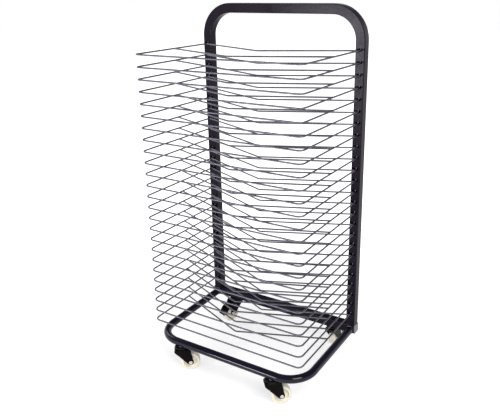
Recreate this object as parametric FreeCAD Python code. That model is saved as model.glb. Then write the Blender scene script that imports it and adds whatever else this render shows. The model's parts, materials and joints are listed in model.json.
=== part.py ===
import FreeCAD, Part
import math
import os

# Art drying rack: 25 hinged wire shelves hung on a tube frame that rolls on four casters.
# Millimetres. X runs across the shelves, +Y towards the uprights, +Z up, floor at Z = 0.

# Square tube of the uprights, the top bar and the rear crossbar: face across X, depth along Y
TUBE_FACE = 25.0
TUBE_DEPTH = 25.0
TUBE_WALL = 1.5
TUBE_EDGE_R = 2.0

# Upright frame
FRAME_WIDTH = 480.0
FRAME_BEND_R = 75.0
TOP_ROOM = 108.0

# Wire shelves
WIRE_D = 4.0
SHELF_COUNT = 25
SHELF_PITCH = 30.0
LOWEST_SHELF_UP = 36.0
SHELF_DEPTH = 295.0
SHELF_CORNER_R = 14.0
BACK_VEE_START = 6.0
BACK_VEE_TIP = 105.0
INNER_VEE_START = 146.0
INNER_VEE_TIP = 236.0
VEE_BEND_R = 12.0
WELD_SINK = 0.9

# Hooks at the back of each shelf and the slots they hang in
HOOK_BEND_R = 3.5
HOOK_RISE = 11.0
HOOK_PLAY = 0.3
SLOT_LENGTH = 17.0
SLOT_HEIGHT = 8.5
SLOT_TILT = 20.0
SLOT_INWARD = 1.5
SLOT_ABOVE_WIRE = 1.2

# Round base tube
BASE_TUBE_D = 21.0
BASE_TUBE_WALL = 1.5
BASE_BEND_R = 70.0
BASE_REACH = 292.0

# Crossbar end plugs
PLUG_FLANGE = 2.0
PLUG_DEPTH = 8.0
PLUG_FIT = 0.1
PLUG_EDGE_R = 0.8

# Spigots and screws that hold the uprights on the crossbar
SPIGOT_HEIGHT = 24.0
SPIGOT_FIT = 0.1
SPIGOT_EDGE_R = 1.2
SCREW_D = 6.0
SCREW_HEAD_D = 11.0
SCREW_HEAD_T = 4.0
SCREW_REACH = 18.0
SCREW_HOLE_FIT = 0.3
THREAD_FIT = 0.05

# Casters
CASTER_HEIGHT = 72.0
FRONT_CASTER_INSET = 13.5
REAR_CASTER_INSET = 72.0
FRONT_LEFT_TURN = 38.0
FRONT_RIGHT_TURN = 42.0
REAR_LEFT_TURN = -108.0
REAR_RIGHT_TURN = 90.0
CASTER_TRAIL = 24.0
INSERT_D = 14.0
INSERT_HEIGHT = 15.0
STEM_D = 10.0
STEM_SHORT_OF_INSERT = 1.0
FLANGE_D = 34.0
FLANGE_T = 2.0
RING_D = 30.0
RING_T = 2.0
RING_BORE_D = 12.0
SWIVEL_PLAY = 0.1
KINGPIN_D = 8.0
KINGPIN_FIT = 0.3
KINGPIN_HEAD_D = 13.0
KINGPIN_HEAD_T = 2.2

# Wheel, fork and axle of a caster
WHEEL_D = 52.0
WHEEL_W = 22.0
WHEEL_RIM_T = 7.0
WHEEL_WEB_T = 9.0
WHEEL_HUB_D = 17.0
WHEEL_HUB_W = 25.6
WHEEL_TREAD_R = 3.0
WHEEL_SIDE_PLAY = 0.5
AXLE_D = 6.0
AXLE_FIT = 0.08
AXLE_HEAD_D = 10.5
AXLE_HEAD_T = 1.6
FORK_CHEEK_T = 2.2
FORK_TOP_T = 2.5
FORK_NOSE_T = 2.4
FORK_NOSE_R = 8.5
FORK_NOSE_AHEAD = 19.0
FORK_BROW_R = 6.0
FORK_BROW_BACK = 26.5
FORK_BOSS_R = 8.5
FORK_EDGE_R = 1.6

# Brake pedal of the rear casters
PEDAL_T = 3.0
PEDAL_CLEAR = 2.6
PEDAL_END_ANGLE = 8.0
PEDAL_ROOT_ANGLE = 112.0
PEDAL_LIP = 3.5
PEDAL_LIP_ANGLE = 7.0
PEDAL_SIDE_PLAY = 0.5
PEDAL_PIN_D = 3.0
PEDAL_PIN_FIT = 0.08
PEDAL_EYE_R = 3.2

# Places that follow from the sizes above; the front faces of the uprights lie in Y = 0 while building
crossbar_top = CASTER_HEIGHT + TUBE_FACE
lowest_shelf = crossbar_top + LOWEST_SHELF_UP
shelf_heights = [lowest_shelf + SHELF_PITCH * i for i in range(SHELF_COUNT)]
frame_top = shelf_heights[-1] + TOP_ROOM
upright_x = (FRAME_WIDTH - TUBE_FACE) / 2
tube_mid_y = TUBE_DEPTH / 2
base_mid_z = CASTER_HEIGHT + BASE_TUBE_D / 2
front_caster_x = upright_x - BASE_BEND_R - FRONT_CASTER_INSET
rear_caster_x = FRAME_WIDTH / 2 - REAR_CASTER_INSET
axle_drop = CASTER_HEIGHT - WHEEL_D / 2
fork_top = -(FLANGE_T + RING_T + SWIVEL_PLAY)
fork_inside = WHEEL_HUB_W + 2 * WHEEL_SIDE_PLAY
fork_width = fork_inside + 2 * FORK_CHEEK_T
pedal_mid_r = WHEEL_D / 2 + PEDAL_CLEAR + PEDAL_T / 2
hook_y = TUBE_WALL + HOOK_PLAY + WIRE_D / 2


def vec(x, y, z):
    return FreeCAD.Vector(x, y, z)


def polar(centre, radius, degrees):
    """A point at an angle about a centre given as (across, up)."""
    angle = math.radians(degrees)
    return (centre[0] + radius * math.cos(angle), centre[1] + radius * math.sin(angle))


def post(diameter, bottom, top, x=0.0, y=0.0):
    """A round bar along +Z."""
    return Part.makeCylinder(diameter / 2, top - bottom, vec(x, y, bottom))


def crossing_pin(diameter, length, x, z):
    """A round bar along Y, centred on Y = 0."""
    return Part.makeCylinder(diameter / 2, length, vec(x, -length / 2, z), vec(0, 1, 0))


def bent_path(points, radius):
    """Straight runs through the points, with an arc of one radius at each corner between them."""
    edges = []
    start = points[0]
    for here, after in zip(points[1:-1], points[2:]):
        back = (start - here).normalize()
        onward = (after - here).normalize()
        half_angle = back.getAngle(onward) / 2
        setback = radius / math.tan(half_angle)
        enter = here + back * setback
        leave = here + onward * setback
        bisector = (back + onward).normalize()
        to_arc = radius / math.sin(half_angle) - radius
        edges.append(Part.makeLine(start, enter))
        edges.append(Part.Arc(enter, here + bisector * to_arc, leave).toShape())
        start = leave
    edges.append(Part.makeLine(start, points[-1]))
    return edges


def swept(path_edges, profile):
    return Part.Wire(path_edges).makePipeShell([profile], True, False)


def round_profile(diameter, start, direction):
    return Part.Wire([Part.makeCircle(diameter / 2, start, direction)])


def rounded_rectangle(x_size, y_size, radius, centre):
    """A rounded rectangle lying flat, as one closed wire."""
    hx = x_size / 2
    hy = y_size / 2
    edges = []
    corners = [(1, 1, 0), (-1, 1, 90), (-1, -1, 180), (1, -1, 270)]
    spans = []
    for sx, sy, first in corners:
        middle = vec(centre.x + sx * (hx - radius), centre.y + sy * (hy - radius), centre.z)
        ring = Part.Circle(middle, vec(0, 0, 1), radius)
        spans.append(Part.ArcOfCircle(ring, math.radians(first), math.radians(first + 90)).toShape())
    for span, following in zip(spans, spans[1:] + spans[:1]):
        corner_end = span.valueAt(span.LastParameter)
        next_corner = following.valueAt(following.FirstParameter)
        edges.append(span)
        edges.append(Part.makeLine(corner_end, next_corner))
    return Part.Wire(edges)


def prism_along_x(y_size, z_size, radius, x_from, x_to, y, z):
    """A rounded rectangular bar along X."""
    flat = Part.Face(rounded_rectangle(z_size, y_size, radius, vec(0, 0, 0)))
    bar = flat.extrude(vec(0, 0, x_to - x_from))
    bar.rotate(vec(0, 0, 0), vec(0, 1, 0), 90)
    bar.translate(vec(x_from, y, z))
    return bar


def hull_outline(circles):
    """The closed outline, in the XZ plane, of a belt pulled around circles (x, z, radius).

    The circles are named going clockwise as seen from -Y.
    """
    touches = []
    for one, two in zip(circles, circles[1:] + circles[:1]):
        along = math.atan2(two[1] - one[1], two[0] - one[0])
        distance = math.hypot(two[0] - one[0], two[1] - one[1])
        outward = along + math.acos((one[2] - two[2]) / distance)
        touches.append([polar((c[0], c[1]), c[2], math.degrees(outward)) for c in (one, two)])
    edges = []
    for i, circle in enumerate(circles):
        arrive = touches[i - 1][1]
        leave = touches[i][0]
        middle_x = (arrive[0] + leave[0]) / 2 - circle[0]
        middle_z = (arrive[1] + leave[1]) / 2 - circle[1]
        scale = circle[2] / math.hypot(middle_x, middle_z)
        crest = vec(circle[0] + middle_x * scale, 0, circle[1] + middle_z * scale)
        edges.append(Part.Arc(vec(arrive[0], 0, arrive[1]), crest, vec(leave[0], 0, leave[1])).toShape())
        following = touches[i][1]
        edges.append(Part.makeLine(vec(leave[0], 0, leave[1]), vec(following[0], 0, following[1])))
    return Part.Wire(edges)


def slab(outline, width):
    """An XZ outline made into a solid that is centred on Y = 0."""
    solid = Part.Face(outline).extrude(vec(0, width, 0))
    solid.translate(vec(0, -width / 2, 0))
    return solid


def at_pedal_pin(diameter, length):
    """A round bar along Y where the pedal turns: in the middle of the shield's upper end."""
    x, z = polar((CASTER_TRAIL, -axle_drop), pedal_mid_r, PEDAL_ROOT_ANGLE)
    return crossing_pin(diameter, length, x, z)


def mirrored(shape):
    return shape.mirror(vec(0, 0, 0), vec(1, 0, 0))


def slot(x, height, tilt):
    """One hook slot, cut through the front wall only."""
    span = SLOT_LENGTH - SLOT_HEIGHT
    radius = SLOT_HEIGHT / 2
    through = 2 * TUBE_WALL
    round_end = Part.makeCylinder(radius, through, vec(span / 2, -through / 4, 0), vec(0, 1, 0))
    other_end = Part.makeCylinder(radius, through, vec(-span / 2, -through / 4, 0), vec(0, 1, 0))
    middle = Part.makeBox(span, through, SLOT_HEIGHT, vec(-span / 2, -through / 4, -radius))
    cutter = middle.fuse([round_end, other_end])
    cutter.rotate(vec(0, 0, 0), vec(0, 1, 0), -tilt)
    cutter.translate(vec(x, 0, height))
    return cutter


def make_upright_frame():
    """Two uprights and the top bar, bent from one length of square tube."""
    path_points = [
        vec(-upright_x, tube_mid_y, crossbar_top),
        vec(-upright_x, tube_mid_y, frame_top - TUBE_FACE / 2),
        vec(upright_x, tube_mid_y, frame_top - TUBE_FACE / 2),
        vec(upright_x, tube_mid_y, crossbar_top),
    ]
    path = bent_path(path_points, FRAME_BEND_R)
    outer = swept(path, rounded_rectangle(TUBE_FACE, TUBE_DEPTH, TUBE_EDGE_R, path_points[0]))
    bore_r = TUBE_EDGE_R - TUBE_WALL
    bore_face = TUBE_FACE - 2 * TUBE_WALL
    bore_depth = TUBE_DEPTH - 2 * TUBE_WALL
    bore = swept(path, rounded_rectangle(bore_face, bore_depth, bore_r, path_points[0]))
    frame = outer.cut(bore)
    rise = SLOT_ABOVE_WIRE - SLOT_INWARD * math.tan(math.radians(SLOT_TILT))
    slots = []
    for height in shelf_heights:
        slots.append(slot(upright_x - SLOT_INWARD, height + rise, SLOT_TILT))
        slots.append(slot(-upright_x + SLOT_INWARD, height + rise, -SLOT_TILT))
    return frame.cut(Part.makeCompound(slots))


def make_crossbar():
    """The rear crossbar, with its screw holes and caster holes."""
    half = FRAME_WIDTH / 2
    middle = CASTER_HEIGHT + TUBE_FACE / 2
    outer = prism_along_x(TUBE_DEPTH, TUBE_FACE, TUBE_EDGE_R, -half, half, tube_mid_y, middle)
    bore_depth = TUBE_DEPTH - 2 * TUBE_WALL
    bore_height = TUBE_FACE - 2 * TUBE_WALL
    bore_r = TUBE_EDGE_R - TUBE_WALL
    bore = prism_along_x(bore_depth, bore_height, bore_r, -half, half, tube_mid_y, middle)
    bar = outer.cut(bore)
    screw_hole = SCREW_D + 2 * SCREW_HOLE_FIT
    insert_hole = INSERT_D + 2 * THREAD_FIT
    for side in (-1, 1):
        bar = bar.cut(post(screw_hole, CASTER_HEIGHT, crossbar_top, side * upright_x, tube_mid_y))
        bar = bar.cut(post(insert_hole, CASTER_HEIGHT, middle, side * rear_caster_x, tube_mid_y))
    return bar


def make_base_tube():
    """The bent round tube that carries the front casters; its two arms butt on the crossbar."""
    path_points = [
        vec(-upright_x, 0, base_mid_z),
        vec(-upright_x, -BASE_REACH, base_mid_z),
        vec(upright_x, -BASE_REACH, base_mid_z),
        vec(upright_x, 0, base_mid_z),
    ]
    path = bent_path(path_points, BASE_BEND_R)
    bore_d = BASE_TUBE_D - 2 * BASE_TUBE_WALL
    outer = swept(path, round_profile(BASE_TUBE_D, path_points[0], vec(0, -1, 0)))
    bore = swept(path, round_profile(bore_d, path_points[0], vec(0, -1, 0)))
    tube = outer.cut(bore)
    for side in (-1, 1):
        hole = post(INSERT_D + 2 * THREAD_FIT, CASTER_HEIGHT, base_mid_z, side * front_caster_x, -BASE_REACH)
        tube = tube.cut(hole)
    return tube


def make_end_plugs():
    """Two push-in plugs that close the crossbar."""
    half = FRAME_WIDTH / 2
    middle = CASTER_HEIGHT + TUBE_FACE / 2
    flange = prism_along_x(TUBE_DEPTH, TUBE_FACE, TUBE_EDGE_R, half, half + PLUG_FLANGE, tube_mid_y, middle)
    face_edges = [e for e in flange.Edges if e.BoundBox.XMin > half + PLUG_FLANGE / 2]
    flange = flange.makeFillet(PLUG_EDGE_R, face_edges)
    slim = 2 * (TUBE_WALL + PLUG_FIT)
    block = prism_along_x(
        TUBE_DEPTH - slim, TUBE_FACE - slim, SPIGOT_EDGE_R, half - PLUG_DEPTH, half, tube_mid_y, middle)
    plug = block.fuse(flange)
    return [plug, mirrored(plug)]


def make_spigots():
    """Threaded blocks in the feet of the uprights."""
    slim = 2 * (TUBE_WALL + SPIGOT_FIT)
    blocks = []
    for side in (-1, 1):
        foot = vec(side * upright_x, tube_mid_y, crossbar_top)
        outline = rounded_rectangle(TUBE_FACE - slim, TUBE_DEPTH - slim, SPIGOT_EDGE_R, foot)
        block = Part.Face(outline).extrude(vec(0, 0, SPIGOT_HEIGHT))
        thread = post(SCREW_D + 2 * THREAD_FIT, crossbar_top, crossbar_top + SPIGOT_HEIGHT, foot.x, foot.y)
        blocks.append(block.cut(thread))
    return blocks


def make_frame_screws():
    """One screw under each upright, up through the crossbar into the spigot."""
    screws = []
    for side in (-1, 1):
        x = side * upright_x
        shank = post(SCREW_D, CASTER_HEIGHT - SCREW_HEAD_T / 2, crossbar_top + SCREW_REACH, x, tube_mid_y)
        head = post(SCREW_HEAD_D, CASTER_HEIGHT - SCREW_HEAD_T, CASTER_HEIGHT, x, tube_mid_y)
        screws.append(shank.fuse(head))
    return screws


def make_caster_inserts(places):
    """Threaded bosses let into the undersides of the tubes, one per caster."""
    bosses = []
    for x, y in places:
        boss = post(INSERT_D, CASTER_HEIGHT, CASTER_HEIGHT + INSERT_HEIGHT, x, y)
        thread = post(STEM_D + 2 * THREAD_FIT, CASTER_HEIGHT, CASTER_HEIGHT + INSERT_HEIGHT, x, y)
        bosses.append(boss.cut(thread))
    return bosses


def make_shelf():
    """One wire shelf at height 0: an open rim with a hook at each end, and two V wires welded across it."""
    hook_top = HOOK_RISE
    front_corners = [vec(-upright_x, -SHELF_DEPTH, 0), vec(upright_x, -SHELF_DEPTH, 0)]
    left_hook = [vec(-upright_x, hook_y, hook_top), vec(-upright_x, hook_y, 0)]
    right_hook = [vec(upright_x, hook_y, 0), vec(upright_x, hook_y, hook_top)]
    halfway = vec(-upright_x, -SHELF_DEPTH / 2, 0)
    other_halfway = vec(upright_x, -SHELF_DEPTH / 2, 0)
    path = bent_path(left_hook + [halfway], HOOK_BEND_R)
    path += bent_path([halfway] + front_corners + [other_halfway], SHELF_CORNER_R)
    path += bent_path([other_halfway] + right_hook, HOOK_BEND_R)
    rim = swept(path, round_profile(WIRE_D, left_hook[0], vec(0, 0, -1)))
    vee_end = upright_x - WIRE_D / 2 + WELD_SINK
    vees = []
    for start, tip in ((BACK_VEE_START, BACK_VEE_TIP), (INNER_VEE_START, INNER_VEE_TIP)):
        points = [vec(-vee_end, -start, 0), vec(0, -tip, 0), vec(vee_end, -start, 0)]
        run = points[1] - points[0]
        vees.append(swept(bent_path(points, VEE_BEND_R), round_profile(WIRE_D, points[0], run)))
    return rim.fuse(vees)


def make_stem():
    """Threaded stem, flange and riveted kingpin of a caster, about its swivel axis."""
    shaft = post(STEM_D, -FLANGE_T, INSERT_HEIGHT - STEM_SHORT_OF_INSERT)
    flange = post(FLANGE_D, -FLANGE_T, 0)
    head_top = fork_top - FORK_TOP_T - SWIVEL_PLAY
    kingpin = post(KINGPIN_D, head_top, -FLANGE_T)
    head = post(KINGPIN_HEAD_D, head_top - KINGPIN_HEAD_T, head_top)
    return shaft.fuse([flange, kingpin, head])


def make_swivel_ring():
    """Bearing ring between the flange and the fork."""
    return post(RING_D, -FLANGE_T - RING_T, -FLANGE_T).cut(post(RING_BORE_D, -FLANGE_T - RING_T, -FLANGE_T))


def make_fork(pedal_pin):
    """Hooded fork: two cheeks joined over the wheel and closed at the nose."""
    nose = (FORK_NOSE_R - FORK_NOSE_AHEAD, fork_top - FORK_NOSE_R, FORK_NOSE_R)
    brow = (FORK_BROW_BACK - FORK_BROW_R, fork_top - FORK_BROW_R, FORK_BROW_R)
    boss = (CASTER_TRAIL, -axle_drop, FORK_BOSS_R)
    body = slab(hull_outline([nose, brow, boss]), fork_width)
    rims = [e for e in body.Edges if e.BoundBox.YLength < FORK_EDGE_R]
    body = body.makeFillet(FORK_EDGE_R, rims)
    inner_nose = (nose[0], nose[1], FORK_NOSE_R - FORK_NOSE_T)
    ceiling = fork_top - FORK_TOP_T
    far_brow = (CASTER_TRAIL + WHEEL_D, ceiling - FORK_BROW_R, FORK_BROW_R)
    far_boss = (CASTER_TRAIL + WHEEL_D, -axle_drop - WHEEL_D, FORK_BROW_R)
    near_boss = (inner_nose[0], -axle_drop - WHEEL_D, inner_nose[2])
    hollow = slab(hull_outline([inner_nose, far_brow, far_boss, near_boss]), fork_inside)
    body = body.cut(hollow)
    body = body.cut(post(KINGPIN_D + 2 * KINGPIN_FIT, ceiling - FORK_TOP_T, 0))
    through = 2 * fork_width
    body = body.cut(crossing_pin(AXLE_D + 2 * THREAD_FIT, through, CASTER_TRAIL, -axle_drop))
    if pedal_pin:
        pin_hole = PEDAL_PIN_D + 2 * THREAD_FIT
        body = body.cut(at_pedal_pin(pin_hole, through))
    return body


def make_wheel():
    """Nylon wheel with a dished web on each side."""
    bore = AXLE_D / 2 + AXLE_FIT
    hub = WHEEL_HUB_D / 2
    rim = WHEEL_D / 2 - WHEEL_RIM_T
    tread = WHEEL_D / 2
    half_hub = WHEEL_HUB_W / 2
    half_web = WHEEL_WEB_T / 2
    half_rim = WHEEL_W / 2
    shoulder = half_rim - WHEEL_TREAD_R
    slant = WHEEL_TREAD_R * (1 - math.sqrt(0.5))
    upper = [(bore, half_hub), (hub, half_hub), (hub, half_web), (rim, half_web), (rim, half_rim)]
    upper.append((tread - WHEEL_TREAD_R, half_rim))
    lower = [(r, -y) for r, y in reversed(upper)]
    left = [vec(r, y, 0) for r, y in upper]
    right = [vec(r, y, 0) for r, y in lower]
    edges = [Part.makeLine(a, b) for a, b in zip(left, left[1:])]
    tread_left = vec(tread, shoulder, 0)
    tread_right = vec(tread, -shoulder, 0)
    edges.append(Part.Arc(left[-1], vec(tread - slant, half_rim - slant, 0), tread_left).toShape())
    edges.append(Part.makeLine(tread_left, tread_right))
    edges.append(Part.Arc(tread_right, vec(tread - slant, slant - half_rim, 0), right[0]).toShape())
    edges += [Part.makeLine(a, b) for a, b in zip(right, right[1:])]
    edges.append(Part.makeLine(right[-1], left[0]))
    wheel = Part.Face(Part.Wire(edges)).revolve(vec(0, 0, 0), vec(0, 1, 0), 360)
    wheel.translate(vec(CASTER_TRAIL, 0, -axle_drop))
    return wheel


def make_axle():
    """Axle rivet with a flat head on each side of the fork."""
    shank = crossing_pin(AXLE_D, fork_width + AXLE_HEAD_T, CASTER_TRAIL, -axle_drop)
    rivet = shank
    for side in (-1, 1):
        head = crossing_pin(AXLE_HEAD_D, AXLE_HEAD_T, CASTER_TRAIL, -axle_drop)
        head.translate(vec(0, side * (fork_width + AXLE_HEAD_T) / 2, 0))
        rivet = rivet.fuse(head)
    return rivet


def make_pedal_pin():
    return at_pedal_pin(PEDAL_PIN_D, fork_width)


def ring_sector(inner, outer, first, last):
    """Part of a ring about the wheel centre, in the XZ plane."""
    centre = (CASTER_TRAIL, -axle_drop)
    middle = (first + last) / 2
    corners = []
    for radius, angles in ((inner, (first, middle, last)), (outer, (last, middle, first))):
        for angle in angles:
            x, z = polar(centre, radius, angle)
            corners.append(vec(x, 0, z))
    edges = [
        Part.Arc(corners[0], corners[1], corners[2]).toShape(),
        Part.makeLine(corners[2], corners[3]),
        Part.Arc(corners[3], corners[4], corners[5]).toShape(),
        Part.makeLine(corners[5], corners[0]),
    ]
    return Part.Wire(edges)


def make_pedal():
    """Brake pedal: a shield curved round the wheel, with an eye on the pin and a lip for the foot."""
    width = fork_inside - 2 * PEDAL_SIDE_PLAY
    inner = WHEEL_D / 2 + PEDAL_CLEAR
    outer = inner + PEDAL_T
    shield = slab(ring_sector(inner, outer, PEDAL_END_ANGLE, PEDAL_ROOT_ANGLE), width)
    lip_end = PEDAL_END_ANGLE + PEDAL_LIP_ANGLE
    lip = slab(ring_sector(inner, outer + PEDAL_LIP, PEDAL_END_ANGLE, lip_end), width)
    eye = at_pedal_pin(2 * PEDAL_EYE_R, width)
    pedal = shield.fuse([lip, eye])
    pin_hole = PEDAL_PIN_D + 2 * PEDAL_PIN_FIT
    return pedal.cut(at_pedal_pin(pin_hole, 2 * width))


def placed_caster(shape, place, turn):
    copy = shape.copy()
    copy.rotate(vec(0, 0, 0), vec(0, 0, 1), turn)
    copy.translate(vec(place[0], place[1], CASTER_HEIGHT))
    return copy


# Casters: name, place of the stem, direction in which the wheel trails, brake or none
casters = [
    ("front_left", (-front_caster_x, -BASE_REACH), FRONT_LEFT_TURN, False),
    ("front_right", (front_caster_x, -BASE_REACH), FRONT_RIGHT_TURN, False),
    ("rear_left", (-rear_caster_x, tube_mid_y), REAR_LEFT_TURN, True),
    ("rear_right", (rear_caster_x, tube_mid_y), REAR_RIGHT_TURN, True),
]

nodes = {
    "upright_frame": [make_upright_frame()],
    "rear_crossbar": [make_crossbar()],
    "base_tube": [make_base_tube()],
    "crossbar_end_plugs": make_end_plugs(),
    "upright_spigots": make_spigots(),
    "frame_screws": make_frame_screws(),
    "caster_inserts": make_caster_inserts([place for _, place, _, _ in casters]),
}

shelf = make_shelf()
for number, height in enumerate(shelf_heights, start=1):
    hung = shelf.copy()
    hung.translate(vec(0, 0, height))
    nodes["shelf_%02d" % number] = [hung]

stem = make_stem()
swivel_ring = make_swivel_ring()
wheel = make_wheel()
axle = make_axle()
pedal = make_pedal()
pedal_pin = make_pedal_pin()
for name, place, turn, braked in casters:
    pins = [axle, pedal_pin] if braked else [axle]
    nodes["stem_" + name] = [placed_caster(stem, place, turn)]
    nodes["swivel_ring_" + name] = [placed_caster(swivel_ring, place, turn)]
    nodes["fork_" + name] = [placed_caster(make_fork(braked), place, turn)]
    nodes["wheel_" + name] = [placed_caster(wheel, place, turn)]
    nodes["axle_" + name] = [placed_caster(pin, place, turn) for pin in pins]
    if braked:
        nodes["brake_pedal_" + name] = [placed_caster(pedal, place, turn)]

# The origin goes to the middle of the overall box, on the floor
everything = Part.makeCompound([solid for solids in nodes.values() for solid in solids])
overall = everything.optimalBoundingBox()
to_centre = vec(0, -(overall.YMin + overall.YMax) / 2, 0)

os.makedirs("parts", exist_ok=True)
for name, solids in nodes.items():
    shape = solids[0] if len(solids) == 1 else Part.makeCompound(solids)
    shape.translate(to_centre)
    shape.exportStep("parts/%s.step" % name)
print("front face of the uprights at Y", to_centre.y)
print("overall", overall)
print("nodes", len(nodes))
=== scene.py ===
# %% [markdown]
# # A drying rack for an art room
#
# The real thing is a tall hoop of square steel tube that stands on a crossbar.
# A round tube runs forward from the crossbar and back again, and four small casters carry it.
# Twenty-five wire shelves hook into slots in the hoop, one above the other.
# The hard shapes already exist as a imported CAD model. This notebook loads them as a fixed
# frame, gives every surface its finish, and builds the small things a CAD model leaves out.
# Everything is in metres, with +Z up and the front of the rack towards -Y.

# %% Load the frame
import json
import math

import bmesh
import bpy
from mathutils import Matrix, Vector


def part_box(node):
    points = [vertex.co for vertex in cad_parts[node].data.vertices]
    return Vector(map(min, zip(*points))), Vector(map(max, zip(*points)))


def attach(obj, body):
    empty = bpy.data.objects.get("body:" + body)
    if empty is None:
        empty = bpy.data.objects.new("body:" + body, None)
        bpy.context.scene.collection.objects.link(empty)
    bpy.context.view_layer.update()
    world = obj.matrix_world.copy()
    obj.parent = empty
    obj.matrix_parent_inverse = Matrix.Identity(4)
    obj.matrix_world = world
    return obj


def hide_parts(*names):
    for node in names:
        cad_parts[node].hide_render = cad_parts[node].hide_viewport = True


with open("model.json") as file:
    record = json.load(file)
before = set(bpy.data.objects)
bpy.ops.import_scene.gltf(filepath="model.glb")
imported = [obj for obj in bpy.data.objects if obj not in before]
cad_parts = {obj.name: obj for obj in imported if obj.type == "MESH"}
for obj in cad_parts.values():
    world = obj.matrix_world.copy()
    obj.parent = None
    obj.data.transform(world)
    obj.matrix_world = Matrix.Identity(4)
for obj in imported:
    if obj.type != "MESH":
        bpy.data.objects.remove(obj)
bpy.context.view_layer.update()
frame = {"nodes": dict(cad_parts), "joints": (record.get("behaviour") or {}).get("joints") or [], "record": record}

# %% [markdown]
# ## Camera
#
# The rack is seen from its front right, from a little above the top shelf.
# A camera can be aimed with a constraint, but its own three angles say just as much
# and leave nothing to evaluate, so a rotation matrix is built from them.

# %% Camera
CAMERA_TURN = math.radians(31.917)
CAMERA_TILT = math.radians(18.95)
CAMERA_ROLL = math.radians(-0.913)
CAMERA_PLACE = Vector((0.8023, -1.2567, 1.0086))
FOCAL_LENGTH_IN_FRAMES = 601.2 / 500
SHIFT_ACROSS = -0.024
SHIFT_UP = -0.04
FILM_WIDTH = 36

looks_along = Vector((
    -math.sin(CAMERA_TURN) * math.cos(CAMERA_TILT),
    math.cos(CAMERA_TURN) * math.cos(CAMERA_TILT),
    -math.sin(CAMERA_TILT),
))
level_right = Vector((math.cos(CAMERA_TURN), math.sin(CAMERA_TURN), 0))
level_up = level_right.cross(looks_along)
right = level_right * math.cos(CAMERA_ROLL) + level_up * math.sin(CAMERA_ROLL)
up = right.cross(looks_along)

camera_data = bpy.data.cameras.new("camera")
camera_data.sensor_width = FILM_WIDTH
camera_data.lens = FILM_WIDTH * FOCAL_LENGTH_IN_FRAMES
camera_data.shift_x = SHIFT_ACROSS
camera_data.shift_y = SHIFT_UP
camera = bpy.data.objects.new("camera", camera_data)
bpy.context.scene.collection.objects.link(camera)
turned = Matrix((right, up, -looks_along)).transposed().to_4x4()
camera.matrix_world = Matrix.Translation(CAMERA_PLACE) @ turned
bpy.context.scene.camera = camera
print("lens", round(camera_data.lens, 1), "mm")

# %% [markdown]
# ## Studio
#
# The rack stands on a wide pale sheet under soft lamps.
# The sheet keeps a faint shadow under the casters, and it is white all round, as paper is.
# White around a subject can come from strong lamps or from the world itself. Strong lamps
# would bleach the pale wheels, so here the world is white where the camera, a reflection or
# glass looks at it, and only dim where it lights a surface.

# %% World
scene = bpy.context.scene
scene.view_settings.view_transform = "Standard"
world = bpy.data.worlds.new("studio")
scene.world = world
world.use_nodes = True
sky_tree = world.node_tree
sky_tree.nodes.clear()
print("world", world.name, "seen through", scene.view_settings.view_transform)

# %% [markdown]
# Every node tree below is laid out by script. Written out in full that takes a line for each
# value, so three helpers come first: one joins two sockets, one makes a Math node and one a
# Map Range node, whose inputs may be numbers or other nodes' outputs.

# %% Node helpers
def link(tree, a, a_socket, b, b_socket):
    """Joins an output of node a to an input of node b."""
    tree.links.new(a.outputs[a_socket], b.inputs[b_socket])


def math_node(tree, operation, *values):
    """A Math node; a value that is a number is set, one that is (node, socket) is joined."""
    node = tree.nodes.new("ShaderNodeMath")
    node.operation = operation
    for i, value in enumerate(values):
        if isinstance(value, tuple):
            link(tree, *value, node, i)
        else:
            node.inputs[i].default_value = value
    return node


def map_range(tree, source, low, high, out_low=0.0, out_high=1.0, kind="LINEAR"):
    """A Map Range node that takes (node, socket) from low..high to out_low..out_high."""
    node = tree.nodes.new("ShaderNodeMapRange")
    node.interpolation_type = kind
    node.inputs["From Min"].default_value = low
    node.inputs["From Max"].default_value = high
    node.inputs["To Min"].default_value = out_low
    node.inputs["To Max"].default_value = out_high
    link(tree, *source, node, "Value")
    return node


print("node helpers:", [helper.__name__ for helper in (link, math_node, map_range)])

# %% [markdown]
# Dark gloss needs something dark to reflect as well, or it turns grey all over. So a
# reflection finds the white only up to a low height, and a dim ceiling above it, as in a
# real studio. In a world, the Generated coordinate is the direction of the ray.

# %% Sky
WORLD_LIGHT = 0.60
CEILING = 0.06
WHITE_UP_TO = 0.10
DIM_FROM = 0.42

direction = sky_tree.nodes.new("ShaderNodeTexCoord")
split = sky_tree.nodes.new("ShaderNodeSeparateXYZ")
link(sky_tree, direction, "Generated", split, "Vector")
ceiling = map_range(sky_tree, (split, "Z"), WHITE_UP_TO, DIM_FROM, 1, CEILING, "SMOOTHSTEP")
rays = sky_tree.nodes.new("ShaderNodeLightPath")
shiny = math_node(sky_tree, "MAXIMUM", (rays, "Is Glossy Ray"), (rays, "Is Transmission Ray"))
in_gloss = math_node(sky_tree, "MULTIPLY", (shiny, 0), (ceiling, "Result"))
straight = math_node(sky_tree, "MAXIMUM", (rays, "Is Camera Ray"), (in_gloss, 0))
lighting = math_node(sky_tree, "MULTIPLY", (rays, "Is Diffuse Ray"), WORLD_LIGHT)
level = math_node(sky_tree, "MAXIMUM", (straight, 0), (lighting, 0))
sky = sky_tree.nodes.new("ShaderNodeBackground")
sky.inputs["Color"].default_value = (1, 1, 1, 1)
link(sky_tree, level, 0, sky, "Strength")
world_out = sky_tree.nodes.new("ShaderNodeOutputWorld")
link(sky_tree, sky, "Background", world_out, "Surface")
print("world light", WORLD_LIGHT, "ceiling", CEILING)

# %% [markdown]
# The floor is one plain square, large enough that its edge is out of sight. A curved
# backdrop would do as well, but it would stand in the way of views from behind.

# %% Floor sheet
FLOOR_HALF = 12

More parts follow.
